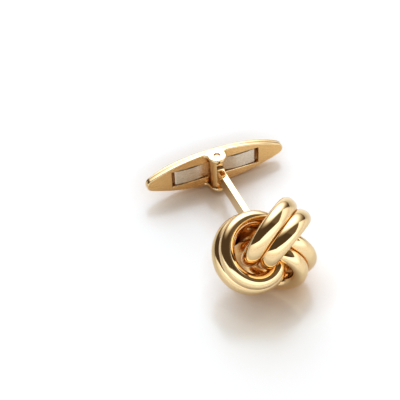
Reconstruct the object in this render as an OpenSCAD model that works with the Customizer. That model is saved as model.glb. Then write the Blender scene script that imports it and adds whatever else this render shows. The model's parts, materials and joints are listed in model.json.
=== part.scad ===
// Swivel-bar cufflink with a love knot of three double loops.
// It is drawn round its own hinge pin: X runs along the bar that swings, Y along
// the pin and Z along the post to the knot. as_it_lies() then lays it on a table
// the way it comes to rest, on the lower pair of loops and on the bar's edge.

/* [Knot] */
// Diameter of the round wire that the loops are bent from; the whole knot follows it
wire_d = 1.8; // [1.5:0.05:2.2]
// Angle in degrees that the knot is turned on the post
knot_turn_angle = 171; // [164:1:176]
// Distance from the hinge pin to the middle of the knot
reach = 16.9; // [15:0.1:22]

/* [Post] */
// Thickness of the flat bar, along the swinging bar
post_t = 0.9; // [0.7:0.05:1]
// Height of the flat bar, along the hinge pin
post_h = 2.1; // [1.6:0.05:2.1]
// Radius of the hollow shoulders under the post's head
shoulder_r = 1.1; // [0.8:0.05:1.1]
// Radius of the collar that carries the knot
collar_r = 1.75; // [1.6:0.05:2]
// Length of the collar along the post
collar_l = 2; // [1.2:0.1:2.4]
// Distance from the middle of the knot back to the near end of the collar
collar_back = 4; // [3.6:0.1:4.4]

/* [Hinge] */
// Diameter of the hinge pin
pin_d = 0.9; // [0.7:0.05:1]
// Radial running clearance of the pin in the post's head
run_gap = 0.03; // [0.02:0.01:0.08]
// Radial gap of the riveted pin in the ears
rivet_gap = 0.01; // [0.005:0.005:0.02]
// How far the pin's ends lie below the ears' outer faces
pin_recess = 0.2; // [0.1:0.05:0.3]
// Radius over the corners of the cam on the post's head
cam_r = 0.95; // [0.8:0.05:1]
// Distance from the pin's axis to each flat of the cam
cam_flat = 0.85; // [0.75:0.05:0.9]
// Side clearance between the post's head and each ear
side_gap = 0.03; // [0.02:0.01:0.08]

/* [Swinging bar] */
// Length of the bar
bar_l = 20; // [17:0.5:24]
// Width of the bar at its middle
bar_w = 5.6; // [5:0.1:7]
// Radius of the bar's rounded tips, seen from above
tip_r = 0.95; // [0.7:0.05:1.4]
// Thickness of the face plate
plate_t = 0.6; // [0.5:0.05:1]
// Height of the back cover's straight rim
rim_h = 0.3; // [0.2:0.05:0.6]
// Height of the back cover's dome above its rim
dome_h = 1.3; // [0.9:0.1:1.8]
// Height of the pin's axis above the bar's face
pin_lift = 0.7; // [0.65:0.05:1]
// Radius of the ears' round ends
ear_r = 1.25; // [1.1:0.05:1.5]
// Thickness of each ear
ear_t = 0.55; // [0.4:0.05:0.7]
// Radius of the fillet at each foot of an ear
ear_fillet = 0.6; // [0.4:0.05:0.9]
// Gap all round the turning cam in its window
window_gap = 0.12; // [0.08:0.01:0.2]

/* [Leaf spring] */
// Length of the slot that shows the spring
slot_l = 12.7; // [10:0.1:14]
// Width of the slot that shows the spring
slot_w = 2.5; // [2:0.1:3]
// Depth of the spring's pocket in the back cover
pocket_d = 0.4; // [0.3:0.05:0.8]
// Thickness of the spring strip
spring_t = 0.2; // [0.15:0.05:0.3]
// Gap between the spring and each side of the slot
spring_side_gap = 0.12; // [0.05:0.01:0.25]
// Gap between the spring and each end of the slot
spring_end_gap = 0.3; // [0.1:0.05:0.5]
// Gap left between the spring's crown and the turning cam
crown_gap = 0.03; // [0.02:0.01:0.1]

/* [Hidden] */
$fn = 96;
// Sides of the wide arcs, which need more than the small ones
wide_fn = 400;

// Colours
gold = "#dcb35c";
satin_gold = "#c99a55";
spring_grey = "#b9b0a4";

// The knot. All its places and radii are counted in wire diameters, because loops
// that pass through each other this tightly fit at one proportion only. A place is
// that of a loop's centre: outward from the knot's axis, onward round it, and
// towards the wearer's view. lean is the loop's tilt off the knot's axis.
wire_r = wire_d / 2;
front_place_shares = [1.06, -0.44, 0.42];
front_radius_share = 2.39;
front_lean_angle = 45;
front_turn_angle = -91;
back_place_shares = [1.01, 0.53, -0.33];
back_radius_share = 2.56;
back_lean_angle = 43.5;
back_turn_angle = -85;
pair_step_angle = 360 / 3;
left_angle = knot_turn_angle;
upper_angle = left_angle - pair_step_angle;
lower_angle = upper_angle - pair_step_angle;
pair_angles = [left_angle, upper_angle, lower_angle];
front_loop_r = front_radius_share * wire_d;
back_loop_r = back_radius_share * wire_d;

// Post and collar
collar_start = reach - collar_back;
post_end = collar_start + collar_l;
seat_gap = run_gap / 2;

// Bar outline: two long side arcs that run smoothly into two small tip arcs
half_l = bar_l / 2;
half_w = bar_w / 2;
side_r = ((half_l - tip_r) ^ 2 + half_w ^ 2 - tip_r ^ 2) / (2 * (half_w - tip_r));
tip_x = half_l - tip_r;
join_x = tip_x * side_r / (side_r - tip_r);
side_h = plate_t + rim_h;
face_z = -pin_lift;
seam_z = face_z - plate_t;
rim_z = face_z - side_h;
back_z = rim_z - dome_h;

// Dome of the back cover: a barrel with one arc across the bar and one along it
dome_across_r = (half_w ^ 2 + dome_h ^ 2) / (2 * dome_h);
dome_along_r = (half_l ^ 2 + dome_h ^ 2) / (2 * dome_h);

// Hinge
pin_r = pin_d / 2;
bore_r = pin_r + run_gap;
rivet_hole_r = pin_r + rivet_gap;
ear_in_y = half_w - ear_t;
head_y = ear_in_y - side_gap;
post_half_h = post_h / 2;
window_x = cam_r + window_gap;
over = plate_t;

// Leaf spring: its ends stand on the pocket's floor and its crown meets the cam
spring_l = slot_l - 2 * spring_end_gap;
spring_w = slot_w - 2 * spring_side_gap;
pocket_z = seam_z - pocket_d;
crown_z = -cam_r - crown_gap;
spring_foot_gap = crown_gap / 2;
spring_rise = crown_z - spring_t - pocket_z - spring_foot_gap;
spring_in_r = ((spring_l / 2) ^ 2 + spring_rise ^ 2) / (2 * spring_rise);
spring_out_r = spring_in_r + spring_t;

// Resting on a table. up(lie) is the table's upward direction in the part's own
// axes, for lie = [tilt, roll] in degrees. Each support is the part's lowest or
// furthest reach in a direction. The part rolls until both lower loops and the
// bar's edge are level.
function up(lie) = [sin(lie[1]) * cos(lie[0]), cos(lie[1]) * cos(lie[0]), sin(lie[0])];
function back_way(lie) = [sin(lie[1]) * sin(lie[0]), cos(lie[1]) * sin(lie[0]), -cos(lie[0])];
function turned(p, a) = [p.x * cos(a) - p.y * sin(a), p.x * sin(a) + p.y * cos(a), p.z];
function leaned(lean, turn) = [sin(lean) * cos(turn), sin(lean) * sin(turn), cos(lean)];
function loop_centre(pair_angle, shares) = turned(shares * wire_d, pair_angle) + [0, 0, reach];
function torus_reach(centre, normal, r, way) =
    centre * way + r * sqrt(1 - (normal * way) ^ 2) + wire_r;
function front_reach(pair_angle, way) =
    torus_reach(loop_centre(pair_angle, front_place_shares),
                leaned(front_lean_angle, front_turn_angle + pair_angle), front_loop_r, way);
function back_reach(pair_angle, way) =
    torus_reach(loop_centre(pair_angle, back_place_shares),
                leaned(back_lean_angle, back_turn_angle + pair_angle), back_loop_r, way);
function knot_reach(way) = max([for (a = pair_angles) max(front_reach(a, way), back_reach(a, way))]);
function edge_reach(way) =
    side_r * norm([way.x, way.y]) - (side_r - half_w) * abs(way.y) + rim_z * way.z;
function dome_reach(way) =
    (back_z + dome_along_r) * way.z + (dome_along_r - dome_across_r) * norm([way.x, way.z])
    + dome_across_r;
function unlevel(lie) =
    let (down = -up(lie), edge = edge_reach(down))
    [front_reach(lower_angle, down) - edge, back_reach(lower_angle, down) - edge];
function settled(lie, steps) = steps == 0 ? lie :
    let (miss = unlevel(lie),
         by_tilt = unlevel(lie + [1, 0]) - miss,
         by_roll = unlevel(lie + [0, 1]) - miss,
         det = by_tilt.x * by_roll.y - by_roll.x * by_tilt.y)
    settled([lie[0] - (miss.x * by_roll.y - by_roll.x * miss.y) / det,
             lie[1] - (by_tilt.x * miss.y - miss.x * by_tilt.y) / det], steps - 1);
settle_steps = 12;
lie = settled([0, 0], settle_steps);
pin_height = edge_reach(-up(lie));
centre_y = (knot_reach(-back_way(lie)) - dome_reach(back_way(lie))) / 2;

module as_it_lies() {
    translate([0, centre_y, pin_height])
        rotate([90 - lie[0], 0, 0])
            rotate([0, 0, lie[1]])
                children();
}

// One loop of round wire, in the place of its pair
module loop(pair_angle, shares, radius, lean, turn) {
    rotate([0, 0, pair_angle])
        translate([shares.x * wire_d, shares.y * wire_d, reach + shares.z * wire_d])
            rotate([0, lean, turn])
                rotate_extrude()
                    translate([radius, 0])
                        circle(r = wire_r);
}

module front_loop(pair_angle) {
    loop(pair_angle, front_place_shares, front_loop_r, front_lean_angle, front_turn_angle);
}

module back_loop(pair_angle) {
    loop(pair_angle, back_place_shares, back_loop_r, back_lean_angle, back_turn_angle);
}

module left_front_loop() {
    color(gold) as_it_lies() front_loop(left_angle);
}

module left_back_loop() {
    color(gold) as_it_lies() back_loop(left_angle);
}

module upper_front_loop() {
    color(gold) as_it_lies() front_loop(upper_angle);
}

module upper_back_loop() {
    color(gold) as_it_lies() back_loop(upper_angle);
}

module lower_front_loop() {
    color(gold) as_it_lies() front_loop(lower_angle);
}

module lower_back_loop() {
    color(gold) as_it_lies() back_loop(lower_angle);
}

// Collar soldered into the three saddles that the back loops leave round the post
module knot_collar() {
    color(gold)
        as_it_lies()
            difference() {
                translate([0, 0, collar_start])
                    cylinder(h = collar_l, r = collar_r);
                translate([0, 0, (collar_start + post_end) / 2])
                    cube([post_t + 2 * seat_gap, post_h + 2 * seat_gap, collar_l + over], center = true);
                for (pair_angle = pair_angles)
                    back_loop(pair_angle);
            }
}

// Flat bar on edge, with hollow shoulders up to a cam head that holds the pin
module post() {
    color(gold)
        as_it_lies()
            difference() {
                union() {
                    post_bar();
                    post_shoulders();
                    cam_head();
                }
                along_pin() cylinder(h = bar_w, r = bore_r, center = true);
            }
}

// Turns the Z axis of its children onto the pin's axis
module along_pin() {
    rotate([90, 0, 0]) children();
}

module post_bar() {
    translate([-post_t / 2, -post_half_h, 0])
        cube([post_t, post_h, post_end]);
}

module post_shoulders() {
    shoulder_reach = head_y - post_half_h;
    difference() {
        translate([-post_t / 2, -head_y, 0])
            cube([post_t, 2 * head_y, shoulder_r + shoulder_reach / 2]);
        for (side = [-1, 1])
            translate([0, side * (post_half_h + shoulder_r), shoulder_r + shoulder_reach / 2])
                rotate([0, 90, 0])
                    cylinder(h = post_t + over, r = shoulder_r, center = true);
    }
}

module cam_head() {
    intersection() {
        along_pin() cylinder(h = 2 * head_y, r = cam_r, center = true);
        cube([2 * cam_flat, 2 * head_y, 2 * cam_flat], center = true);
    }
}

// Solid with the bar's outline from z = low to z = high
module bar_blank(low, high) {
    height = high - low;
    translate([0, 0, low]) {
        intersection() {
            translate([0, half_w - side_r, 0])
                cylinder(h = height, r = side_r, $fn = wide_fn);
            translate([0, side_r - half_w, 0])
                cylinder(h = height, r = side_r, $fn = wide_fn);
            translate([-join_x, -half_w, 0])
                cube([2 * join_x, bar_w, height]);
        }
        for (side = [-1, 1])
            translate([side * tip_x, 0, 0])
                cylinder(h = height, r = tip_r);
    }
}

module ear_profile() {
    foot = ear_r + ear_fillet;
    circle(r = ear_r);
    translate([-ear_r, -pin_lift])
        square([2 * ear_r, pin_lift]);
    difference() {
        translate([-foot, -pin_lift])
            square([2 * foot, ear_fillet]);
        for (side = [-1, 1])
            translate([side * foot, ear_fillet - pin_lift])
                circle(r = ear_fillet);
    }
}

module ears() {
    intersection() {
        bar_blank(face_z, ear_r + over);
        difference() {
            along_pin()
                linear_extrude(height = bar_w, center = true)
                    ear_profile();
            cube([bar_l, 2 * ear_in_y, bar_w], center = true);
        }
    }
}

// Face plate: one piece with its two ears, slotted for the spring and for the cam
module bar_face_plate() {
    color(satin_gold)
        as_it_lies()
            difference() {
                union() {
                    bar_blank(seam_z, face_z);
                    ears();
                }
                translate([0, 0, face_z - plate_t / 2]) {
                    cube([slot_l, slot_w, plate_t + over], center = true);
                    cube([2 * window_x, 2 * ear_in_y, plate_t + over], center = true);
                }
                along_pin() cylinder(h = bar_w + over, r = rivet_hole_r, center = true);
            }
}

// Domed back cover with the pocket that the spring's feet stand in
module bar_back_cover() {
    color(gold)
        as_it_lies()
            difference() {
                intersection() {
                    bar_blank(back_z - over, seam_z);
                    union() {
                        bar_blank(rim_z, seam_z);
                        dome();
                    }
                }
                translate([0, 0, pocket_z + pocket_d])
                    cube([slot_l, slot_w, 2 * pocket_d], center = true);
            }
}

module dome() {
    difference() {
        translate([0, 0, back_z + dome_along_r])
            along_pin()
                rotate_extrude($fn = wide_fn)
                    intersection() {
                        translate([dome_along_r - dome_across_r, 0])
                            circle(r = dome_across_r);
                        translate([dome_along_r - dome_across_r, -dome_across_r])
                            square([dome_across_r, 2 * dome_across_r]);
                    }
        translate([-bar_l, -bar_l, seam_z])
            cube([2 * bar_l, 2 * bar_l, 3 * dome_along_r]);
    }
}

// Spring strip, bent to one arc
module leaf_spring() {
    color(spring_grey)
        as_it_lies()
            intersection() {
                translate([0, 0, crown_z - spring_out_r])
                    along_pin()
                        difference() {
                            cylinder(h = spring_w, r = spring_out_r, center = true, $fn = wide_fn);
                            cylinder(h = slot_w, r = spring_in_r, center = true, $fn = wide_fn);
                        }
                translate([0, 0, crown_z])
                    cube([spring_l, slot_w, 2 * (spring_rise + spring_t) + spring_foot_gap], center = true);
            }
}

module hinge_pin() {
    color(gold)
        as_it_lies()
            along_pin()
                cylinder(h = bar_w - 2 * pin_recess, r = pin_r, center = true);
}

left_front_loop();
left_back_loop();
upper_front_loop();
upper_back_loop();
lower_front_loop();
lower_back_loop();
knot_collar();
post();
bar_face_plate();
bar_back_cover();
leaf_spring();
hinge_pin();
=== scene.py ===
# %% [markdown]
# # A swivel-bar cufflink with a love knot
# The front ornament is a knot of three double loops of round gold wire. A flat
# post joins it to a boat-shaped bar that swings on a pin, so that it can follow
# the post through a buttonhole and then lie crosswise behind the cuff.
# The exact solids come in as a fixed frame. They could simply be painted, but
# polished metal shows every facet and every knife-sharp edge in what it mirrors.
# So each visible piece is made again here as a finer mesh, in the same place.

# %% Load the exact pieces
import json
import math

import bmesh
import bpy
import numpy as np
from mathutils import Matrix, Vector
from mathutils.bvhtree import BVHTree

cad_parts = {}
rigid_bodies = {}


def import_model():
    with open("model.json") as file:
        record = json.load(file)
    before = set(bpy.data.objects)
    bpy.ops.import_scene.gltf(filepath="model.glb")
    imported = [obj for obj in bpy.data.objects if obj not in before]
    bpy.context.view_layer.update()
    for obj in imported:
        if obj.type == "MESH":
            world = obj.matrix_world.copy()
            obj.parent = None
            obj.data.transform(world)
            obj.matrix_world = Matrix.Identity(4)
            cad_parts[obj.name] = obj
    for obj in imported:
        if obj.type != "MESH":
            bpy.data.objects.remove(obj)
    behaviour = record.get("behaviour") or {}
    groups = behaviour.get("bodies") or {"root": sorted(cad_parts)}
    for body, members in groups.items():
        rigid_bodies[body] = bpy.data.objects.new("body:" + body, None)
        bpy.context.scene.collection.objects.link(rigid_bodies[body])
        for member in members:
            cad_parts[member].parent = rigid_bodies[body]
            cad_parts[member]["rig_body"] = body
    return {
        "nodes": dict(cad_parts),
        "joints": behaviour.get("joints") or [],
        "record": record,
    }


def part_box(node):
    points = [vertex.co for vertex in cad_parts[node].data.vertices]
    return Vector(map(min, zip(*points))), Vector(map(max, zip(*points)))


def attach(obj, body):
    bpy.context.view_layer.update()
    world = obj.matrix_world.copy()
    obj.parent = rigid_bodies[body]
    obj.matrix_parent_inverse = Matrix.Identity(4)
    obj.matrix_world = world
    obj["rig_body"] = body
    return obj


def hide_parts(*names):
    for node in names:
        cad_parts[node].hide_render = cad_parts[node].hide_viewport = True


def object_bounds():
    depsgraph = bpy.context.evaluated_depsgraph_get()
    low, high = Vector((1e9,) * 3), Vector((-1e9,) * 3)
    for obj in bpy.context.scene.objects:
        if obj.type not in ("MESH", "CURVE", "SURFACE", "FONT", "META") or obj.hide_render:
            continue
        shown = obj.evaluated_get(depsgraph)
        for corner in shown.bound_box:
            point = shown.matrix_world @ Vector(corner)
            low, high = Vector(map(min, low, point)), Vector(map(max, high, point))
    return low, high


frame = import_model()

MM = 0.001
# The outermost surfaces stay this far inside the exact ones, in mm
INSIDE = 0.004
scene = bpy.context.scene
cad_box = [list(corner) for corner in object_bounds()]
print("exact box, mm:", [[round(x / MM, 2) for x in corner] for corner in cad_box])

# %% [markdown]
# ## The bench axes
# The cufflink lies tilted on the table, but a jeweller measures it along its own
# parts: along the bar, along the pin, and along the post to the knot. The joint
# and the cuff's mount hold two of these directions, and their cross product is
# the third. All sizes below are in millimetres on these axes, from the pin.

# %% Find the bench axes
joint = frame["joints"][0]
pin_way = Vector(joint["axis"]).normalized()
cuff_mount = next(m for m in frame["record"]["mounts"] if m["name"] == "cuff_face")
knot_way = Vector(cuff_mount["axis"]).normalized()
bar_way = pin_way.cross(knot_way).normalized()
BENCH = Matrix.Translation(joint["pos_m"]) @ Matrix((bar_way, pin_way, knot_way)).transposed().to_4x4()
BENCH = BENCH @ Matrix.Scale(MM, 4)
TO_BENCH = BENCH.inverted()


def reach(node):
    """Lowest and highest corner of an exact piece on the bench axes, in mm."""
    points = [TO_BENCH @ v.co for v in frame["nodes"][node].data.vertices]
    low = Vector([min(p[i] for p in points) for i in range(3)])
    high = Vector([max(p[i] for p in points) for i in range(3)])
    return low, high


for node in ("bar_face_plate", "bar_back_cover", "post", "leaf_spring", "hinge_pin"):
    print(node, "reaches", *[tuple(round(x, 2) for x in corner) for corner in reach(node)])

# %% [markdown]
# ## Polishing marks, as one shader group
# Polished gold isn't a perfect mirror. A felt wheel leaves hairlines that cross
# at all angles, and the surface swells by a few thousandths of a millimetre. An
# image could hold this, but a noise that is stretched along several directions
# needs none and has no seam. The group gives three things that change over the
# surface: a height for the bump, a mask for the roughness and a tone for the colour.

# %% Helpers for node trees


def place(tree, kind, **values):
    """A new node. Names with a leading capital are input sockets, others are settings."""
    made = tree.nodes.new(kind)
    for name, value in values.items():
        if name[0].isupper():
            made.inputs[name.replace("_", " ")].default_value = value
        else:
            setattr(made, name, value)
    return made


def calculate(tree, operation, *terms, clamp=False):
    """A Math node whose terms are numbers or sockets."""
    made = place(tree, "ShaderNodeMath", operation=operation, use_clamp=clamp)
    for i, term in enumerate(terms):
        if isinstance(term, (int, float)):
            made.inputs[i].default_value = term
        else:
            tree.links.new(term, made.inputs[i])
    return made.outputs[0]


def spread(tree, value, low, high, to_low=0.0, to_high=1.0, kind="SMOOTHSTEP"):
    """A Map Range node, which turns low..high of a socket into to_low..to_high."""
    made = place(tree, "ShaderNodeMapRange", interpolation_type=kind)
    tree.links.new(value, made.inputs["Value"])
    for name, number in (("From Min", low), ("From Max", high), ("To Min", to_low), ("To Max", to_high)):
        made.inputs[name].default_value = number
    return made.outputs["Result"]


def new_group(name, inputs, outputs):
    """An empty shader group with its sockets, and its input and output nodes."""
    tree = bpy.data.node_groups.new(name, "ShaderNodeTree")
    for title, kind, value in inputs:
        made = tree.interface.new_socket(title, in_out="INPUT", socket_type="NodeSocket" + kind)
        if value is not None:
            made.default_value = value
    for title, kind in outputs:
        tree.interface.new_socket(title, in_out="OUTPUT", socket_type="NodeSocket" + kind)
    return tree, place(tree, "NodeGroupInput"), place(tree, "NodeGroupOutput")


# %% Build the group of polishing marks
# The noise is turned by these angles, and is long in one direction and fine across
HAIRLINE_TURNS = (0.3, 1.4, 2.3)
HAIRLINE_STRETCH = (0.5, 14.0, 14.0)
HAIRLINE_LEVELS = (0.62, 0.8)
# Depth of a hairline as a share of the swell's height
HAIRLINE_DEPTH = 0.06
CLOUD_PER_MM = 0.22
CLOUD_RUB_LEVELS = (0.35, 0.7)
CLOUD_TONE_LEVELS = (0.3, 0.7)
# Two masks are added half and half
HALF = 0.5

marks, marks_in, marks_out = new_group(
    "Polishing marks",
    [("Vector", "Vector", None), ("Marks per mm", "Float", 1.0), ("Swell per mm", "Float", 0.35)],
    [("Height", "Float"), ("Rub", "Float"), ("Tone", "Float")],
)
in_mm = place(marks, "ShaderNodeVectorMath", operation="SCALE")
marks.links.new(marks_in.outputs["Vector"], in_mm.inputs[0])
in_mm.inputs["Scale"].default_value = 1 / MM
fine = place(marks, "ShaderNodeVectorMath", operation="SCALE")
marks.links.new(in_mm.outputs[0], fine.inputs[0])
marks.links.new(marks_in.outputs["Marks per mm"], fine.inputs["Scale"])
hairlines = []
for turn in HAIRLINE_TURNS:
    turned = place(marks, "ShaderNodeMapping", Rotation=(turn, 2 * turn, turn), Scale=HAIRLINE_STRETCH)
    marks.links.new(fine.outputs[0], turned.inputs["Vector"])
    streaks = place(marks, "ShaderNodeTexNoise", Scale=1.0, Detail=2.0, Roughness=0.6)
    marks.links.new(turned.outputs[0], streaks.inputs["Vector"])
    hairlines.append(spread(marks, streaks.outputs["Fac"], *HAIRLINE_LEVELS))
crossed = calculate(marks, "ADD", hairlines[0], hairlines[1])
crossed = calculate(marks, "ADD", crossed, hairlines[2], clamp=True)
swell = place(marks, "ShaderNodeTexNoise", Detail=1.0)
marks.links.new(in_mm.outputs[0], swell.inputs["Vector"])
marks.links.new(marks_in.outputs["Swell per mm"], swell.inputs["Scale"])
cloud = place(marks, "ShaderNodeTexNoise", Scale=CLOUD_PER_MM, Detail=3.0)
marks.links.new(in_mm.outputs[0], cloud.inputs["Vector"])
scratched = calculate(marks, "MULTIPLY", crossed, HAIRLINE_DEPTH)
height = calculate(marks, "SUBTRACT", swell.outputs["Fac"], scratched)
marks.links.new(height, marks_out.inputs["Height"])
rub_of_lines = calculate(marks, "MULTIPLY", crossed, HALF)
rub_of_cloud = spread(marks, cloud.outputs["Fac"], *CLOUD_RUB_LEVELS, 0, HALF)
marks.links.new(calculate(marks, "ADD", rub_of_lines, rub_of_cloud), marks_out.inputs["Rub"])
marks.links.new(spread(marks, cloud.outputs["Fac"], *CLOUD_TONE_LEVELS), marks_out.inputs["Tone"])
print("group:", marks.name, "with", len(marks.nodes), "nodes")

# %% [markdown]
# ## Grain, as a second group
# The bar's inner face and the spring are rubbed in one direction only. The grain
# is noise, long along the rubbing and very fine across it. It reads the bench
# axes, which each piece carries as an attribute, so that it follows the bar.

# %% Build the group of rubbed grain
GRAIN_RUB_LEVELS = (0.3, 0.7)
GRAIN_TONE_LEVELS = (0.35, 0.65)
STAIN_PER_MM = 0.3

grain, grain_in, grain_out = new_group(
    "Rubbed grain",
    [("Vector", "Vector", None), ("Stretch", "Vector", (1.0, 20.0, 20.0))],
    [("Height", "Float"), ("Rub", "Float"), ("Tone", "Float")],
)
stretched = place(grain, "ShaderNodeVectorMath", operation="MULTIPLY")
grain.links.new(grain_in.outputs["Vector"], stretched.inputs[0])
grain.links.new(grain_in.outputs["Stretch"], stretched.inputs[1])
rubs = place(grain, "ShaderNodeTexNoise", Scale=1.0, Detail=3.0, Roughness=0.65)
grain.links.new(stretched.outputs[0], rubs.inputs["Vector"])
stain = place(grain, "ShaderNodeTexNoise", Scale=STAIN_PER_MM, Detail=2.0)
grain.links.new(grain_in.outputs["Vector"], stain.inputs["Vector"])
grain.links.new(rubs.outputs["Fac"], grain_out.inputs["Height"])
grain.links.new(spread(grain, rubs.outputs["Fac"], *GRAIN_RUB_LEVELS), grain_out.inputs["Rub"])
both = calculate(grain, "ADD", rubs.outputs["Fac"], stain.outputs["Fac"])
average = calculate(grain, "MULTIPLY", both, HALF)
grain.links.new(spread(grain, average, *GRAIN_TONE_LEVELS), grain_out.inputs["Tone"])
print("group:", grain.name, "with", len(grain.nodes), "nodes")

# %% [markdown]
# ## Painted shade in recesses, as a third group
# Where the wires crowd together no polishing wheel reaches, and gold mirrors gold
# there, so the metal looks deeper and duller. The group takes the finish and how
# enclosed a point is, and gives back a colour with painted shade, which is deeper
# where the point is enclosed, and a rougher surface. Every finish of the cufflink
# uses it with its own shade colour.

# %% Build the group of painted shade in recesses
# Painted shade: over these levels of enclosure the colour goes over to the shade colour
PAINTED_SHADE_LEVELS = (0.24, 0.7)
UNREACHED_LEVELS = (0.6, 0.95)

painted_recess_shade, recesses_in, recesses_out = new_group(
    "Painted shade in recesses",
    [("Enclosed", "Float", 0.0), ("Open colour", "Color", None), ("Painted shade colour", "Color", None),
     ("Open roughness", "Float", 0.1), ("Added roughness", "Float", 0.34)],
    [("Colour", "Color"), ("Roughness", "Float")],
)
# Painted shade: the colour darkens towards the shade colour where a point is enclosed
painted_shade_mix = place(painted_recess_shade, "ShaderNodeMix", data_type="RGBA")
painted_shade_share = spread(painted_recess_shade, recesses_in.outputs["Enclosed"], *PAINTED_SHADE_LEVELS)
painted_recess_shade.links.new(painted_shade_share, painted_shade_mix.inputs["Factor"])
painted_recess_shade.links.new(recesses_in.outputs["Open colour"], painted_shade_mix.inputs[6])
painted_recess_shade.links.new(recesses_in.outputs["Painted shade colour"], painted_shade_mix.inputs[7])
painted_recess_shade.links.new(painted_shade_mix.outputs[2], recesses_out.inputs["Colour"])
unreached = spread(painted_recess_shade, recesses_in.outputs["Enclosed"], *UNREACHED_LEVELS)
added = calculate(painted_recess_shade, "MULTIPLY", unreached, recesses_in.outputs["Added roughness"])
dulled = calculate(painted_recess_shade, "ADD", recesses_in.outputs["Open roughness"], added)
painted_recess_shade.links.new(dulled, recesses_out.inputs["Roughness"])
print("group:", painted_recess_shade.name, "with", len(painted_recess_shade.nodes), "nodes")

# %% [markdown]
# ## The finishes
# Yellow gold, satin gold and spring steel are all bare metals: Metallic is 1, and
# the base colour is the colour of their mirror. What tells them apart is how
# sharp that mirror is. Each material is one Principled shader, fed by a group of
# marks or grain and by the group of recesses. The shader itself stays outside the
# groups, where an exporter can read it.

# %% Make a metal finish


def metal(name, group, settings, colours, roughness, bump, along_bench):
    """A bare metal: two close colours and a colour of painted shade for its recesses, a roughness range,
    and the strength and depth in mm of its bump. along_bench lays the marks along the bar."""
    made = bpy.data.materials.new(name)
    made.use_nodes = True
    tree = made.node_tree
    shader = tree.nodes["Principled BSDF"]
    shader.inputs["Metallic"].default_value = 1.0
    if along_bench:
        where = place(tree, "ShaderNodeAttribute", attribute_name="bench").outputs["Vector"]
    else:
        where = place(tree, "ShaderNodeTexCoord").outputs["Object"]
    surface = place(tree, "ShaderNodeGroup", node_tree=group)
    tree.links.new(where, surface.inputs["Vector"])
    for title, value in settings.items():
        surface.inputs[title].default_value = value
    tint = place(tree, "ShaderNodeMix", data_type="RGBA")
    tree.links.new(surface.outputs["Tone"], tint.inputs["Factor"])
    tint.inputs[6].default_value = (*colours[0], 1)
    tint.inputs[7].default_value = (*colours[1], 1)
    recess = place(tree, "ShaderNodeGroup", node_tree=painted_recess_shade)
    enclosed = place(tree, "ShaderNodeAttribute", attribute_name="nook").outputs["Fac"]
    tree.links.new(enclosed, recess.inputs["Enclosed"])
    tree.links.new(tint.outputs[2], recess.inputs["Open colour"])
    # Painted shade: the third colour, for light bounced between gold faces
    recess.inputs["Painted shade colour"].default_value = (*colours[2], 1)
    rubbed = spread(tree, surface.outputs["Rub"], 0, 1, *roughness, kind="LINEAR")
    tree.links.new(rubbed, recess.inputs["Open roughness"])
    tree.links.new(recess.outputs["Colour"], shader.inputs["Base Color"])
    tree.links.new(recess.outputs["Roughness"], shader.inputs["Roughness"])
    relief = place(tree, "ShaderNodeBump", Strength=bump[0], Distance=bump[1] * MM)
    tree.links.new(surface.outputs["Height"], relief.inputs["Height"])
    tree.links.new(relief.outputs["Normal"], shader.inputs["Normal"])
    print("finish:", name)
    return made


# The third colour of each finish is the painted shade in its recesses
polished_gold = metal(
    "polished_gold", marks, {"Marks per mm": 1.0, "Swell per mm": 0.35},
    colours=((0.95, 0.70, 0.375), (0.97, 0.73, 0.405), (0.87, 0.52, 0.20)), roughness=(0.06, 0.12),
    bump=(0.25, 0.02), along_bench=False,
)
satin_gold = metal(
    "satin_gold", grain, {"Stretch": (1.2, 22.0, 22.0)},
    colours=((0.80, 0.48, 0.185), (0.89, 0.555, 0.23), (0.68, 0.37, 0.12)), roughness=(0.2, 0.3),
    bump=(0.22, 0.01), along_bench=True,
)
spring_steel = metal(
    "spring_steel", grain, {"Stretch": (0.8, 26.0, 26.0)},
    colours=((0.70, 0.58, 0.44), (0.84, 0.73, 0.59), (0.66, 0.50, 0.33)), roughness=(0.2, 0.32),
    bump=(0.25, 0.008), along_bench=True,
)

# %% [markdown]
# ## From a mesh to a piece of the cufflink
# Every new mesh goes through the same last steps: it is smoothed, it gets its
# bench coordinates for the grain, it takes its finish, it stands for an exact
# piece and it rides on a body, so that it moves when the bar swings.

# %% Hand a finished mesh over
pieces = []


def add_piece(name, mesh, node, slot, *finishes):
    """Makes the object that stands for an exact piece, in its body."""
    mesh.shade_smooth()
    bench = mesh.attributes.new("bench", "FLOAT_VECTOR", "POINT")
    for vertex in mesh.vertices:
        bench.data[vertex.index].vector = TO_BENCH @ vertex.co
    for finish in finishes:
        mesh.materials.append(finish)
    piece = bpy.data.objects.new(name, mesh)
    scene.collection.objects.link(piece)
    pieces.append(piece)
    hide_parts(node)
    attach(piece, frame["nodes"][node]["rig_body"])
    print("piece:", name, "with", len(mesh.polygons), "faces")


# %% [markdown]
# ## The six loops
# Each loop is a ring. Its box alone tells how it lies: a ring of radius R that is
# square to a direction n reaches R * sqrt(1 - n * n) along each axis, plus the
# wire. So the boxes give the radius and the tilt, up to signs, and the exact mesh
# settles the signs. What comes out is the middle line of each wire, in mm.

# %% Measure a ring from its box
WIRE_R = 0.9
PAIRS = ("left", "upper", "lower")
LOOPS = [f"{pair}_{layer}_loop" for pair in PAIRS for layer in ("front", "back")]


def measure_ring(node):
    """Centre, direction and radius of a ring, in mm."""
    low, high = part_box(node)
    centre = (low + high) / 2
    half = (high - low) / 2 - Vector((WIRE_R * MM,) * 3)
    radius = math.sqrt(half.length_squared / 2)
    tilt = [math.sqrt(max(0, 1 - (h / radius) ** 2)) for h in half]
    ways = [Vector((tilt[0], tilt[1] * b, tilt[2] * c)).normalized() for b in (1, -1) for c in (1, -1)]
    points = [v.co - centre for v in frame["nodes"][node].data.vertices]
    way = min(ways, key=lambda w: sum(abs(p.dot(w)) for p in points))
    return np.array(centre) / MM, np.array(way), radius / MM


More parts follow.
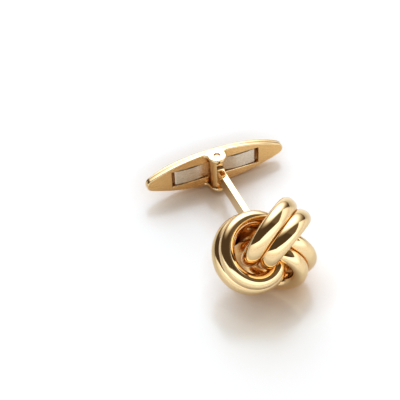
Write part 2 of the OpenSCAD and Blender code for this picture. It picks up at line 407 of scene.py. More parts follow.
for node in LOOPS:
    print(node, "has a radius of", round(measure_ring(node)[2], 2), "mm")

# %% Lay the middle line of each wire
RING_STEPS = 192


def centre_line(node):
    """Places along the middle of the wire, and the outward direction at each, in mm."""
    centre, way, radius = measure_ring(node)
    across = np.cross(way, (0, 0, 1))
    across /= np.linalg.norm(across)
    up = np.cross(way, across)
    turn = np.linspace(0, math.tau, RING_STEPS, endpoint=False)[:, None]
    outward = np.cos(turn) * across + np.sin(turn) * up
    return centre + radius * outward, outward, way


lines = {node: centre_line(node) for node in LOOPS}
print("middle lines:", len(lines), "with", RING_STEPS, "places each")

# %% [markdown]
# On the real knot the rings aren't quite round. The end of each loop that lies at
# the middle of the knot is drawn in by about a millimetre, towards the loop's own
# centre. It could be pulled by hand with a soft selection, but a bell curve round
# that end does the same to all six, and leaves the rest of each ring as it was.

# %% Draw the inner ends in
# How far the end is drawn in, in mm, and over how much of the turn, in radians
DRAW_IN = 1.1
DRAW_SPREAD = 0.8
knot_middle = sum(line.mean(axis=0) for line, outward, way in lines.values()) / len(LOOPS)
for node, (line, outward, way) in lines.items():
    side = line.mean(axis=0) - knot_middle
    side -= np.array(knot_way) * (side @ np.array(knot_way))
    from_end = np.arccos(np.clip(-outward @ side / np.linalg.norm(side), -1, 1))
    pull = DRAW_IN * np.exp(-((from_end / DRAW_SPREAD) ** 2))
    lines[node] = (line - outward * pull[:, None], outward, way)
    print(node, "drawn in by", round(pull.max(), 2), "mm at most")

# %% [markdown]
# The wire isn't quite round either. Each pair was pressed together until no gap was
# left, so both wires are wider along the ring's axis where the pair would open.
# Tapered rings could be modelled by hand, but a rule does it better: the wire
# swells to half the distance to its partner, and no wire passes the plane halfway
# to any other wire, so that nothing overlaps.

# %% Move a loop towards its partner
WIDEST = 1.45
SHIFT = {"upper_front_loop": 0.22}


def partner_of(node):
    """The other loop of the pair."""
    return node.replace("front", "back") if "front" in node else node.replace("back", "front")


def to_partner(node):
    """From each place of a loop to the nearest place of its partner."""
    gaps = lines[partner_of(node)][0][None] - lines[node][0][:, None]
    apart = np.linalg.norm(gaps, axis=2)
    return gaps[np.arange(len(gaps)), apart.argmin(axis=1)], apart.min(axis=1)


for node, shift in SHIFT.items():
    gap, apart = to_partner(node)
    opening = np.clip((apart / 2 - WIRE_R) / (WIDEST - WIRE_R), 0, 1)
    line, outward, way = lines[node]
    lines[node] = (line - gap / apart[:, None] * (shift * opening)[:, None], outward, way)
    print(node, "moved by", round(float((shift * opening).max()), 2), "mm at most")

# %% Swell each wire towards its partner
WIRE_SIDES = 52
# Half of the wire's width in the plane of its ring, and how far inside the exact
# wire its outer side stays
RADIAL_R = 1.0
SKIN = 0.012
# The side away from the partner gets this share of the swelling
FAR_SHARE = {"left": 0.0, "upper": 0.6, "lower": 0.0}
# Towards its partner a wire swells to this many times half the gap, and is pressed
# flat at the plane halfway, with this much air in mm on either side of it
PRESS = 1.12
TOUCH = 0.002
# A high power makes a narrow crease where the flat begins
CREASE = 28.0
# A direction that leads away from another wire never meets the plane halfway
ALMOST_ZERO = 1e-6
TOP_Z = cad_box[1][2] / MM - INSIDE


def swollen_wire(node):
    """The wire's surface: one row of places round each place of the centre line."""
    line, outward, way = lines[node]
    gap, apart = to_partner(node)
    half_gap = np.clip(apart / 2, WIRE_R, WIDEST)
    far = WIRE_R + FAR_SHARE[node.split("_")[0]] * (half_gap - WIRE_R)
    others = np.concatenate([lines[other][0] for other in LOOPS if other != node])
    around = np.linspace(0, math.tau, WIRE_SIDES, endpoint=False)
    along = np.roll(line, -1, axis=0) - np.roll(line, 1, axis=0)
    along /= np.linalg.norm(along, axis=1)[:, None]
    rows = []
    for i, point in enumerate(line):
        aim = gap[i] - along[i] * (gap[i] @ along[i])
        aim /= np.linalg.norm(aim)
        outer = np.cross(aim, along[i])
        outer *= np.sign(outer @ outward[i])
        rim = np.cos(around)[:, None] * outer + np.sin(around)[:, None] * aim
        middle = point - outer * (RADIAL_R - WIRE_R + SKIN)
        facing = np.where(np.sin(around) > 0, half_gap[i] * PRESS, far[i])
        reach_out = 1 / np.hypot(np.cos(around) / RADIAL_R, np.sin(around) / facing)
        between = others - middle
        ahead = np.maximum(rim @ between.T, ALMOST_ZERO)
        halfway = ((between**2).sum(axis=1) / (2 * ahead)).min(axis=1) - TOUCH
        softly = (reach_out**-CREASE + halfway**-CREASE) ** (-1 / CREASE)
        rows.append(middle + rim * softly[:, None])
    over = max(0.0, max(row[:, 2].max() for row in rows) - TOP_Z)
    return [row - (0, 0, over) for row in rows]


wires = {node: swollen_wire(node) for node in LOOPS}
print("wires:", len(wires), "with", WIRE_SIDES, "places round each")

# %% Skin the wires


def mesh_of_wire(rows):
    """A closed tube mesh through rows of places in mm."""
    bm = bmesh.new()
    rings = [[bm.verts.new(Vector(spot) * MM) for spot in row] for row in rows]
    for i, ring in enumerate(rings):
        following = rings[(i + 1) % len(rings)]
        for j in range(WIRE_SIDES):
            k = (j + 1) % WIRE_SIDES
            bm.faces.new((ring[j], following[j], following[k], ring[k]))
    bmesh.ops.recalc_face_normals(bm, faces=bm.faces)
    mesh = bpy.data.meshes.new("wire")
    bm.to_mesh(mesh)
    bm.free()
    return mesh


for node, wire in wires.items():
    add_piece(f"gold_{node}", mesh_of_wire(wire), node, "polished_gold", polished_gold)

# %% [markdown]
# ## Rounded edges on flat work
# The post and the face plate are cut from flat stock. Their exact solids have the
# right shape, and only their edges are too sharp: on a polished piece, an edge is a
# narrow bright line. They could be drawn again, but a copy of the exact solid, with
# a bevel where faces meet at an angle, keeps every size. A bevel goes wrong where
# edges are shorter than it is wide or where a face is long and has many corners, so
# the copy is first rid of its shortest edges and cut across in a few places.

# %% Copy an exact piece
# Corners closer than this many mm become one, and faces this close to one plane too
SHORTEST = 0.04
COPLANAR = math.radians(0.8)
CUT_SNAP = 0.0001


def exact_copy(node, way, *cuts):
    """A bmesh of an exact piece: flat faces are joined, then cut across at these places in mm."""
    bm = bmesh.new()
    bm.from_mesh(frame["nodes"][node].data)
    bmesh.ops.remove_doubles(bm, verts=bm.verts, dist=SHORTEST * MM)
    bmesh.ops.dissolve_limit(bm, angle_limit=COPLANAR, verts=bm.verts, edges=bm.edges)
    for cut in cuts:
        everything = bm.verts[:] + bm.edges[:] + bm.faces[:]
        spot = BENCH.translation + way * cut * MM
        bmesh.ops.bisect_plane(bm, geom=everything, dist=CUT_SNAP * MM, plane_co=spot, plane_no=way)
    print(node, "copied with", len(bm.faces), "faces")
    return bm


# %% Round the edges of a copy
# Faces that meet at more than this angle get a rounded edge between them
SHARP = math.radians(28)
BEVEL_SEGMENTS = 3
# Above 50, the shading near an edge follows the larger faces more
FLAT_WEIGHT = 80


def finish_mesh(mesh, *steps):
    """Runs modifiers on a mesh and gives back the mesh that they make."""
    holder = bpy.data.objects.new("holder", mesh)
    scene.collection.objects.link(holder)
    for kind, settings in steps:
        modifier = holder.modifiers.new(kind, kind)
        for name, value in settings.items():
            setattr(modifier, name, value)
    ready = holder.evaluated_get(bpy.context.evaluated_depsgraph_get())
    made = bpy.data.meshes.new_from_object(ready)
    bpy.data.objects.remove(holder)
    return made


def round_edges(bm, width, share_of):
    """A mesh whose sharp edges are rounded. share_of(middle of an edge) scales the width,
    and an edge with a share of 0 stays sharp."""
    share = bm.edges.layers.float.new("bevel_weight_edge")
    for edge in bm.edges:
        if len(edge.link_faces) == 2 and edge.calc_face_angle() > SHARP:
            middle = TO_BENCH @ ((edge.verts[0].co + edge.verts[1].co) / 2)
            edge[share] = share_of(middle)
            edge.smooth = edge[share] > 0
    for face in bm.faces:
        face.smooth = True
    mesh = bpy.data.meshes.new("rounded")
    bm.to_mesh(mesh)
    bm.free()
    bevel = {
        "width": width * MM, "segments": BEVEL_SEGMENTS,
        "limit_method": "WEIGHT", "use_clamp_overlap": False,
    }
    flatter = {"keep_sharp": True, "weight": FLAT_WEIGHT}
    return finish_mesh(mesh, ("BEVEL", bevel), ("WEIGHTED_NORMAL", flatter))


# %% [markdown]
# ## The post
# The post is a flat bar on edge. Its head is a cam that works against the spring.
# One bevel could go round all of it, but a jeweller leaves a cam's corners crisp,
# so only the rest of it is rounded.

# %% The post
POST_EDGE = 0.07
# The cam lies within this distance of the pin's axis, in mm
HEAD_REACH = 1.6
# Places of the cuts along the post
POST_CUTS = (1.3, 1.7, 2.6, 4.0, 8.0, 13.0)


def post_share(middle):
    """The cam head keeps its crisp edges."""
    return 0.0 if math.hypot(middle.x, middle.z) < HEAD_REACH else 1.0


post = round_edges(exact_copy("post", knot_way, *POST_CUTS), POST_EDGE, post_share)
add_piece("gold_post", post, "post", "polished_gold", polished_gold)

# %% [markdown]
# ## The bar's face plate
# Its inner face is satin, but the rim, the ears and all edges are polished. Two
# materials on one mesh do this: faces that look towards the knot and lie on the
# face plane are satin. The rim and the ears are well rounded. At the seam with the
# back cover, and round the pin's bores, the edge is hardly broken.

# %% Face plate
PLATE_EDGE = 0.12
SEAM_SHARE = 0.15
INNER_SHARE = 0.4
# Places of the cuts along the bar
PLATE_CUTS = (-8.0, -6.6, -4.0, -1.95, -1.3, 0.0, 1.3, 1.95, 4.0, 6.6, 8.0)
# The pin's bores lie within this distance of its axis, in mm
BORE_REACH = 0.8
plate_low, plate_high = reach("bar_face_plate")
SEAM_Z = plate_low.z
FACE_Z = -0.7
# How close to a plane counts as on it, in mm, and how level a satin face has to be
NEAR = 0.02
LEVEL = 0.97


def plate_share(middle):
    """The rim and the ears are well rounded, edges below the face less, the seam hardly."""
    if middle.z < SEAM_Z + NEAR or math.hypot(middle.x, middle.z) < BORE_REACH:
        return SEAM_SHARE
    return 1.0 if middle.z > FACE_Z - NEAR else INNER_SHARE


plate = round_edges(exact_copy("bar_face_plate", bar_way, *PLATE_CUTS), PLATE_EDGE, plate_share)
for face in plate.polygons:
    flat = face.normal.dot(knot_way) > LEVEL
    at_face = abs((TO_BENCH @ face.center).z - FACE_Z) < NEAR
    face.material_index = 1 if flat and at_face else 0
add_piece("gold_face_plate", plate, "bar_face_plate", "satin_gold", polished_gold, satin_gold)

# %% [markdown]
# ## The bar's back cover
# This is a polished dome, so facets would show at once. Its surface is a barrel:
# one arc across the bar, which is itself carried along a longer arc. Both radii
# follow from the bar's length and width and the height of the dome. A bevel on such
# a mesh leaves dashes in the mirror, so the rounded edge is drawn with the rest: it
# is a quarter circle in each station. The stations lie closer together at the tips.

# %% Sizes of the back cover
# Radius of the outline's tips, height of the upright rim, and the widths of the
# rounded edge at the dome and of the broken edge at the seam
TIP_R = 0.95
RIM_H = 0.3
COVER_EDGE = 0.16
SEAM_EDGE = 0.02
cover_low = reach("bar_back_cover")[0]
HALF_L = plate_high.x - INSIDE
HALF_W = plate_high.y - INSIDE
BACK_Z = cover_low.z + INSIDE
RIM_Z = SEAM_Z - RIM_H
DOME_H = RIM_Z - BACK_Z
SIDE_R = ((HALF_L - TIP_R) ** 2 + HALF_W**2 - TIP_R**2) / (2 * (HALF_W - TIP_R))
TIP_X = HALF_L - TIP_R
JOIN_X = TIP_X * SIDE_R / (SIDE_R - TIP_R)
ACROSS_R = (HALF_W**2 + DOME_H**2) / (2 * DOME_H)
ALONG_R = (HALF_L**2 + DOME_H**2) / (2 * DOME_H)
print("radii of the dome, mm:", round(ACROSS_R, 2), "across and", round(ALONG_R, 1), "along")

# %% Draw one station of the back cover
EDGE_STEPS = 8
STRIPS = 20


def side_place(x, inset):
    """Place on the inset outline at x, and the outward direction there."""
    drop = SIDE_R - HALF_W
    if abs(x) < JOIN_X * (1 - inset / SIDE_R):
        at = Vector((x, math.sqrt((SIDE_R - inset) ** 2 - x * x) - drop))
        return at, (at + Vector((0, drop))).normalized()
    way = Vector((x - math.copysign(TIP_X, x), 0))
    way.y = math.sqrt(max(0, (TIP_R - inset) ** 2 - way.x**2))
    return Vector((math.copysign(TIP_X, x), 0)) + way, way.normalized()


def dome_z(x, y):
    """Height of the barrel's surface."""
    arm = ALONG_R - ACROSS_R + math.sqrt(ACROSS_R**2 - y * y)
    return BACK_Z + ALONG_R - math.sqrt(arm * arm - x * x)


def cover_row(x):
    """One station, from the seam over the rounded edge to the middle of the dome."""
    inner, way = side_place(x, COVER_EDGE)
    edge = inner + way * COVER_EDGE
    row = [(edge - way * SEAM_EDGE, SEAM_Z), (edge, SEAM_Z - SEAM_EDGE)]
    for i in range(EDGE_STEPS):
        turn = math.pi / 2 * i / EDGE_STEPS
        at = inner + way * (COVER_EDGE * math.cos(turn))
        row.append((at, dome_z(*at) + COVER_EDGE * (1 - math.sin(turn))))
    for i in range(STRIPS):
        at = Vector((inner.x, inner.y * math.cos(math.pi / 2 * i / STRIPS)))
        row.append((at, dome_z(*at)))
    return row


print("one station:", len(cover_row(0)), "points to a side")

# %% Join the stations to a closed shell
STATIONS = 160
MERGE = 0.0005


def skin_rows(bm, rows):
    """Faces from each closed row of points to the next."""
    for row, following in zip(rows, rows[1:]):
        for j in range(len(row)):
            k = (j + 1) % len(row)
            bm.faces.new((row[j], row[k], following[k], following[j]))


def mesh_from(bm, name):
    """A smooth mesh with its faces turned outward."""
    bmesh.ops.recalc_face_normals(bm, faces=bm.faces)
    for face in bm.faces:
        face.smooth = True
    mesh = bpy.data.meshes.new(name)
    bm.to_mesh(mesh)
    bm.free()
    return mesh


bm = bmesh.new()
rows = []
for i in range(STATIONS + 1):
    row = cover_row(-(HALF_L - COVER_EDGE) * math.cos(math.pi * i / STATIONS))
    middle = Vector((row[-1][0].x, 0.0))
    half = [bm.verts.new(BENCH @ Vector((*at, z))) for at, z in row]
    crown = bm.verts.new(BENCH @ Vector((*middle, dome_z(*middle))))
    other = [bm.verts.new(BENCH @ Vector((at.x, -at.y, z))) for at, z in reversed(row)]
    rows.append(half + [crown] + other)
skin_rows(bm, rows)
bmesh.ops.remove_doubles(bm, verts=bm.verts, dist=MERGE * MM)
cover = mesh_from(bm, "cover")
print("cover:", STATIONS + 1, "stations of", len(rows[0]), "points")

# %% [markdown]
# The spring lies in a pocket that is milled into the cover from the seam side. The
# stations could be drawn with the pocket in them, but a boolean is closer to the
# mill: its cutter is a box that reaches as far above the seam as below it.

# %% Mill the spring's pocket into the cover
POCKET_L = 12.7
POCKET_W = 2.5
POCKET_DEPTH = 0.4
milled = Matrix.Translation((0, 0, SEAM_Z)) @ Matrix.Diagonal((POCKET_L, POCKET_W, 2 * POCKET_DEPTH, 1))
bm = bmesh.new()
bmesh.ops.create_cube(bm, size=1.0, matrix=BENCH @ milled)
cutter_mesh = bpy.data.meshes.new("cutter")
bm.to_mesh(cutter_mesh)
bm.free()
cutter = bpy.data.objects.new("cutter", cutter_mesh)
scene.collection.objects.link(cutter)
cover = finish_mesh(cover, ("BOOLEAN", {"operation": "DIFFERENCE", "object": cutter, "solver": "EXACT"}))
bpy.data.objects.remove(cutter)
add_piece("gold_back_cover", cover, "bar_back_cover", "polished_gold", polished_gold)

# %% [markdown]
# ## Leaf spring
# The spring is a blanked strip with barely broken edges. The cam presses it down
# at its middle, on either side it bows up to just under the bar's face, and its
# ends are bent down to the bottom of the pocket. A flat strip could be bent with a
# modifier, but a formula for the height of its upper side keeps it clear of both
# the cam and the face. The strip is drawn in sections along the bar.

# %% Height of the spring
SPRING_T = 0.2
# From the middle of the bar to where the cam lets go, and to the top of the bow
CAM_X = 1.0
BOW_X = 3.3
BOW_Z = -0.72
# Share of the fall to the end that is an even sag, and how sudden the bend is
SAG_SHARE = 0.24
END_BEND = 40
spring_low, spring_high = reach("leaf_spring")


def bow(x):
    """Height of the spring's upper side: bowed up beside the cam, and pressed down by it."""
    x = abs(x)
    if x < BOW_X:
        share = min(1, max(0, (x - CAM_X) / (BOW_X - CAM_X)))
        return spring_high.z + (BOW_Z - spring_high.z) * share * share * (3 - 2 * share)
    fall = (x - BOW_X) / (spring_high.x - BOW_X)
    drop = SAG_SHARE * fall**2 + (1 - SAG_SHARE) * fall**END_BEND
    return BOW_Z + (spring_low.z + SPRING_T - BOW_Z) * drop


print("spring: top of the bow at", BOW_Z, "mm, under the cam at", round(bow(0), 2), "mm")

# %% Leaf spring
SPRING_EDGE = 0.03
SPRING_STATIONS = 200
outer = spring_high.y
inner = outer - SPRING_EDGE
bm = bmesh.new()
rows = []
for i in range(SPRING_STATIONS + 1):
    x = spring_high.x * math.sin(math.pi * (i / SPRING_STATIONS - 0.5))
    half = [(inner, 0), (outer, -SPRING_EDGE), (outer, SPRING_EDGE - SPRING_T), (inner, -SPRING_T)]
    section = half + [(-y, z) for y, z in reversed(half)]
    rows.append([bm.verts.new(BENCH @ Vector((x, y, bow(x) + z))) for y, z in section])
skin_rows(bm, rows)
bm.faces.new(rows[0])
bm.faces.new(rows[-1])
strip = finish_mesh(mesh_from(bm, "strip"), ("EDGE_SPLIT", {"split_angle": SHARP}))
add_piece("steel_spring", strip, "leaf_spring", "spring_steel", spring_steel)

# %% [markdown]
# ## Hinge pin
# The pin is riveted: its ends are struck slightly hollow, and their edge is turned
# over. A cylinder would show as a flat disc in each ear. It is turned here as a
# profile round its axis, like work on a lathe.

# %% Hinge pin
PIN_R, PIN_HALF = reach("hinge_pin")[1].xy
TURNED_SIDES = 64
# From the middle of an end to its edge: shares of the pin's radius and half length
PIN_PROFILE_SHARES = [
    (0.0, 0.955), (0.45, 0.957), (0.7, 0.965), (0.84, 0.98), (0.92, 0.982), (0.98, 0.975), (1.0, 0.96),
]


def lathe(profile, turn=Matrix.Identity(4)):
    """Turns (radius, place along the axis) points, in mm, round the pin's axis or a turned one."""
    bm = bmesh.new()
    rows = []
    for radius, along in profile:
        count = TURNED_SIDES if radius > 0 else 1
        angles = [math.tau * i / TURNED_SIDES for i in range(count)]
        spots = [Vector((radius * math.cos(a), along, radius * math.sin(a))) for a in angles]
        rows.append([bm.verts.new(BENCH @ turn @ spot) for spot in spots])
    for row, following in zip(rows, rows[1:]):
        for i in range(TURNED_SIDES):
            k = (i + 1) % TURNED_SIDES
            first = [row[i % len(row)], row[k % len(row)]]
            second = [following[k % len(following)], following[i % len(following)]]
            bm.faces.new(list(dict.fromkeys(first + second)))
    return mesh_from(bm, "turned")


upper_end = [(r * PIN_R, a * PIN_HALF) for r, a in PIN_PROFILE_SHARES]
lower_end = [(r, -a) for r, a in reversed(upper_end)]
add_piece("gold_pin", lathe(upper_end + lower_end), "hinge_pin", "polished_gold", polished_gold)

# %% [markdown]
# ## Collar and back plate
# The post ends in a collar that the back loops are soldered to. Behind the loops
# lies a small dished plate, turned with the collar, so that one looks through the
# knot onto gold and not through to the table. It is a turned profile as well, up
# the outside of the dish, over its rim and down its inside to the collar. Places
# along the profile are counted from the collar's near end.

# %% Collar and back plate
collar_low, collar_high = reach("knot_collar")
COLLAR_R = 1.75
DISH = [(1.35, 0.0), (COLLAR_R, 0.12), (2.5, 0.25), (3.1, 0.62), (3.45, 1.15), (3.5, 1.22), (3.44, 1.28)]
DISH_INSIDE = [(3.35, 1.25), (3.0, 0.8), (2.4, 0.45), (COLLAR_R, 0.35)]
COLLAR_L = collar_high.z - collar_low.z
COLLAR_TOP = [(COLLAR_R, COLLAR_L), (0.0, COLLAR_L)]
TO_KNOT = Matrix.Rotation(math.pi / 2, 4, "X")
profile = [(0.0, 0.0)] + DISH + DISH_INSIDE + COLLAR_TOP
collar = lathe([(radius, collar_low.z + along) for radius, along in profile], TO_KNOT)
add_piece("gold_collar", collar, "knot_collar", "polished_gold", polished_gold)

# %% [markdown]
# ## Painted shade in the recesses
# Gold that faces gold looks far deeper in colour: light that has bounced twice or
# three times between gold faces is amber. Some of that comes by itself from the
# ray tracing. The rest is painted shade: the colour is made deeper where the metal
# is enclosed, and the surface rougher, as the wheel can't reach there. The mask for
# it is measured: from each point of the mesh, rays go out, and the share that soon
# meets gold again is kept with the point.

# %% Measure how enclosed each point is
# How far a ray looks for gold, in mm, and how many rays there are in a whole ball
NOOK_REACH = 4.0
NOOK_RAYS = 42
# The golden angle spreads the rays evenly over the ball
GOLDEN_ANGLE = 2.39996
# Rays start this far off the surface, in mm, and those that only graze it are left out
RAY_START = 0.03
GRAZING = 0.15
counts = np.arange(NOOK_RAYS) + 0.5
heights = 1 - 2 * counts / NOOK_RAYS
circles = np.sqrt(1 - heights**2)
turns = counts * GOLDEN_ANGLE
SPIRAL = np.stack([circles * np.cos(turns), circles * np.sin(turns), heights], axis=1)
corners, faces = [], []
for piece in pieces:
    first = len(corners)
    corners += [v.co / MM for v in piece.data.vertices]
    faces += [[first + i for i in face.vertices] for face in piece.data.polygons]
whole = BVHTree.FromPolygons(corners, faces)
for piece in pieces:
    normals = np.array([v.normal for v in piece.data.vertices])
    lean = normals @ SPIRAL.T
    nook = np.zeros(len(normals))
    for i, vertex in enumerate(piece.data.vertices):
        start = vertex.co / MM + vertex.normal * RAY_START
        met = total = 0.0
        for ray in np.flatnonzero(lean[i] > GRAZING):
            total += lean[i, ray]
            if whole.ray_cast(start, Vector(SPIRAL[ray]), NOOK_REACH)[0] is not None:
                met += lean[i, ray]
        nook[i] = met / total
    kept = piece.data.attributes.new("nook", "FLOAT", "POINT")
    kept.data.foreach_set("value", nook)
    print(piece.name, "is enclosed by", round(float(nook.mean()), 2), "on average")

# %% [markdown]
# ## The light tent
# Polished metal has no look of its own: it shows the room. Jewellery is shot in a
# tent of white cards with a dark gap where the camera looks in, and that gap draws
# the deep brown bands along the gold. Lamps could stand round the object, but the
# world shader holds the same cards as directions, and no card gets in the way when
# the camera goes round. A card is the part of the sky on one side of several planes,
# and each card is brighter higher up. Behind the cufflink hangs a broad soft lamp.
# Light that has gone through the tent's cloth is warm, most of all where it is dim:
# green and blue are raised to a power, which leaves white as it is.

# %% Start the world and its directions
world = bpy.data.worlds.new("light tent")
scene.world = world
world.use_nodes = True
sky = world.node_tree
background = sky.nodes["Background"]
look = place(sky, "ShaderNodeTexCoord").outputs["Generated"]
print("world:", world.name)


def heading(azimuth, rise=0.0):
    """A direction: azimuth in degrees clockwise from +Y, rise in degrees."""
    a, r = math.radians(azimuth), math.radians(rise)
    return Vector((math.sin(a) * math.cos(r), math.cos(a) * math.cos(r), math.sin(r)))


def side_of(normal, soft):
    """A mask that is 1 where the view is on the normal's side of a plane."""
    lean = place(sky, "ShaderNodeVectorMath", operation="DOT_PRODUCT")
    sky.links.new(look, lean.inputs[0])
    lean.inputs[1].default_value = normal
    return spread(sky, lean.outputs["Value"], -soft, soft)


def right_of(azimuth, soft=0.03):
    """The half of the sky clockwise of an azimuth."""
    return side_of(heading(azimuth + 90), soft)


def left_of(azimuth, soft=0.03):
    """The half of the sky anticlockwise of an azimuth."""
    return side_of(heading(azimuth - 90), soft)


def below(azimuth, rise, soft=0.03):
    """Below the straight top edge of a card that faces azimuth and ends at that rise."""
    edge = heading(azimuth) * math.tan(math.radians(rise)) - Vector((0, 0, 1))
    return side_of(edge.normalized(), soft)


def above(azimuth, rise, soft=0.03):
    """Above the straight edge of a card that faces azimuth and starts at that rise."""
    edge = Vector((0, 0, 1)) - heading(azimuth) * math.tan(math.radians(rise))
    return side_of(edge.normalized(), soft)


# %% Hang the cards
ROOM = (0.076, 0.074, 0.076)
# At the horizon a card has this share of its level, and it has all of it where the
# direction's Z is this large
CARD_FOOT_SHARE = 0.62
CARD_FULL_HEIGHT = 0.42
# For each card, its level and the planes that bound it
CARDS = {
    "ceiling": (0.15, [right_of(60), left_of(137, 0.08), above(95, 30)]),
    "right": (1.3, [right_of(75, 0.05), left_of(134), below(97, 36)]),
    "front": (1.55, [right_of(122), left_of(-140, 0.1), below(172, 43)]),
    "left": (1.55, [right_of(-175, 0.1), left_of(-62, 0.05), below(-160, 31.5)]),
}
height_of = place(sky, "ShaderNodeSeparateXYZ")
sky.links.new(look, height_of.inputs[0])
brighter_up = spread(sky, height_of.outputs["Z"], 0.0, CARD_FULL_HEIGHT, CARD_FOOT_SHARE, 1.0)
level = place(sky, "ShaderNodeRGB").outputs[0]
level.default_value = (*ROOM, 1)
for strength, masks in CARDS.values():
    mask = masks[0]
    for other in masks[1:]:
        mask = calculate(sky, "MULTIPLY", mask, other)
    card = place(sky, "ShaderNodeMix", data_type="RGBA")
    sky.links.new(mask, card.inputs["Factor"])
    sky.links.new(level, card.inputs[6])
    sky.links.new(calculate(sky, "MULTIPLY", brighter_up, strength), card.inputs[7])
    level = card.outputs[2]
print("tent:", len(CARDS), "cards")

# %% Hang the lamp and warm the light
LAMP = heading(20, 42)
LAMP_LEVEL = 2.7
LAMP_SPREAD = math.radians(57)
LAMP_FALLOFF = 2.0
# The azimuth where the lamp gives way to the right card, and how softly it does
LAMP_END = (75, 0.05)
# Powers for red, green and blue
WARMTH = (1.0, 1.14, 1.32)
towards = place(sky, "ShaderNodeVectorMath", operation="DOT_PRODUCT")
sky.links.new(look, towards.inputs[0])
towards.inputs[1].default_value = LAMP
cone = spread(sky, towards.outputs["Value"], math.cos(LAMP_SPREAD), 1.0, kind="LINEAR")
lamp = calculate(sky, "MULTIPLY", calculate(sky, "POWER", cone, LAMP_FALLOFF), LAMP_LEVEL)
lamp = calculate(sky, "MULTIPLY", lamp, left_of(*LAMP_END))
total = place(sky, "ShaderNodeVectorMath", operation="ADD")
sky.links.new(level, total.inputs[0])
sky.links.new(lamp, total.inputs[1])
channels = place(sky, "ShaderNodeSeparateColor")
sky.links.new(total.outputs[0], channels.inputs[0])
tinted = place(sky, "ShaderNodeCombineColor")
for i, power in enumerate(WARMTH):
    sky.links.new(calculate(sky, "POWER", channels.outputs[i], power), tinted.inputs[i])
sky.links.new(tinted.outputs[0], background.inputs["Color"])
print("lamp towards:", [round(x, 2) for x in LAMP])

# %% [markdown]
# The camera itself sees plain white behind the floor, as in the finished photo. A
# white backdrop could be a mesh, but it would stand in the light. The metal goes on
# mirroring the cards, which are its white background.

# %% White backdrop for the camera
white = place(sky, "ShaderNodeBackground", Color=(1, 1, 1, 1))
ray = place(sky, "ShaderNodeLightPath")
choose = place(sky, "ShaderNodeMixShader")
direct = calculate(sky, "MAXIMUM", ray.outputs["Is Camera Ray"], ray.outputs["Is Transmission Ray"])
sky.links.new(direct, choose.inputs["Fac"])
sky.links.new(background.outputs[0], choose.inputs[1])
sky.links.new(white.outputs[0], choose.inputs[2])
sky.links.new(choose.outputs[0], sky.nodes["World Output"].inputs["Surface"])
print("world:", len(sky.nodes), "nodes in all")

# %% [markdown]
# ## The floor
# The floor is glossy white card, which mirrors the cufflink softly. In a tent it
# doesn't come out pure white, and the photograph was lightened until it did. The
# floor does the same: it glows a little in itself, which lifts it to white. Close
# to the gold, a warm painted shadow is mixed into its colour and its glow is less,
# for the shade and the gold's bounce light that the card gets there in place of
# the tent. The measure for that is how open the floor lies.

# %% Floor
FLOOR_SIZE = 3.0
floor_mesh = bpy.data.meshes.new("floor")
bm = bmesh.new()
bmesh.ops.create_grid(bm, x_segments=1, y_segments=1, size=FLOOR_SIZE / 2)
bm.to_mesh(floor_mesh)
bm.free()
floor = bpy.data.objects.new("floor", floor_mesh)
scene.collection.objects.link(floor)
print("floor:", FLOOR_SIZE, "m wide")

# %% Finish of the floor
CARD_ROUGHNESS = 0.2
CARD_OPEN = (0.88, 0.85, 0.79)
# Painted shadow: the card's colour close to the gold, warm for the gold's bounce light
CARD_PAINTED_SHADOW = (0.57, 0.34, 0.15)
CARD_GLOW = 0.28
# Gold mirrors this share of the glow
MIRRORED_SHARE = 0.35
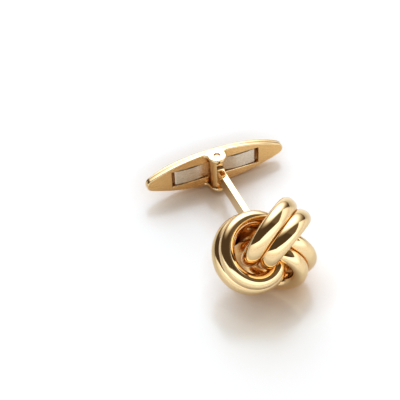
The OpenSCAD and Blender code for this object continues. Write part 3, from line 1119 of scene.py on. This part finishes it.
# How far the painted shadow reaches from the gold, in mm, and how quickly it fades
CONTACT = 6.0
CONTACT_POWER = 1.5
CONTACT_SAMPLES = 8
floor_card = bpy.data.materials.new("floor_card")
floor_card.use_nodes = True
card_tree = floor_card.node_tree
card_shader = card_tree.nodes["Principled BSDF"]
card_shader.inputs["Roughness"].default_value = CARD_ROUGHNESS
card_shader.inputs["Specular IOR Level"].default_value = 1.0
open_sky = place(card_tree, "ShaderNodeAmbientOcclusion", samples=CONTACT_SAMPLES, Distance=CONTACT * MM)
openness = calculate(card_tree, "POWER", open_sky.outputs["AO"], CONTACT_POWER)
card_colour = place(card_tree, "ShaderNodeMix", data_type="RGBA")
card_tree.links.new(openness, card_colour.inputs["Factor"])
card_colour.inputs[6].default_value = (*CARD_PAINTED_SHADOW, 1)
card_colour.inputs[7].default_value = (*CARD_OPEN, 1)
for socket in ("Base Color", "Emission Color"):
    card_tree.links.new(card_colour.outputs[2], card_shader.inputs[socket])
ray = place(card_tree, "ShaderNodeLightPath")
seen = calculate(card_tree, "MAXIMUM", ray.outputs["Is Camera Ray"], ray.outputs["Is Transmission Ray"])
mirrored = calculate(card_tree, "MULTIPLY", ray.outputs["Is Glossy Ray"], MIRRORED_SHARE)
seen = calculate(card_tree, "MAXIMUM", seen, mirrored)
# The glow is less close to the gold, which paints shadow there as well
glow = calculate(card_tree, "MULTIPLY", calculate(card_tree, "MULTIPLY", seen, openness), CARD_GLOW)
card_tree.links.new(glow, card_shader.inputs["Emission Strength"])
floor_mesh.materials.append(floor_card)
print("finish:", floor_card.name)

# %% [markdown]
# ## The camera
# The photograph looks down at about 56 degrees, from the knot's side and a little
# from the left. It was taken from close by with a long lens, so the camera stands
# about 27 cm away. Its place is given as two angles and a distance from a target.

# %% Camera
# From a perspective fit of the photograph, in degrees and metres
VIEW_AZIMUTH = -157.16
VIEW_RISE = 55.69
VIEW_DISTANCE = 0.27018
TARGET = Vector((-3.262, 7.689, 0)) * MM
FOCAL_PX = 1973.4
PHOTO_PX = 400
SENSOR_WIDTH = 36
NEAREST = 0.01
camera_data = bpy.data.cameras.new("camera")
camera_data.sensor_width = SENSOR_WIDTH
camera_data.lens = SENSOR_WIDTH * FOCAL_PX / PHOTO_PX
camera_data.clip_start = NEAREST
camera = bpy.data.objects.new("camera", camera_data)
scene.collection.objects.link(camera)
camera.location = TARGET + heading(VIEW_AZIMUTH, VIEW_RISE) * VIEW_DISTANCE
camera.rotation_euler = (TARGET - camera.location).to_track_quat("-Z", "Y").to_euler()
scene.camera = camera
scene.view_settings.view_transform = "Standard"
print("camera at, mm:", [round(x / MM, 1) for x in camera.location])
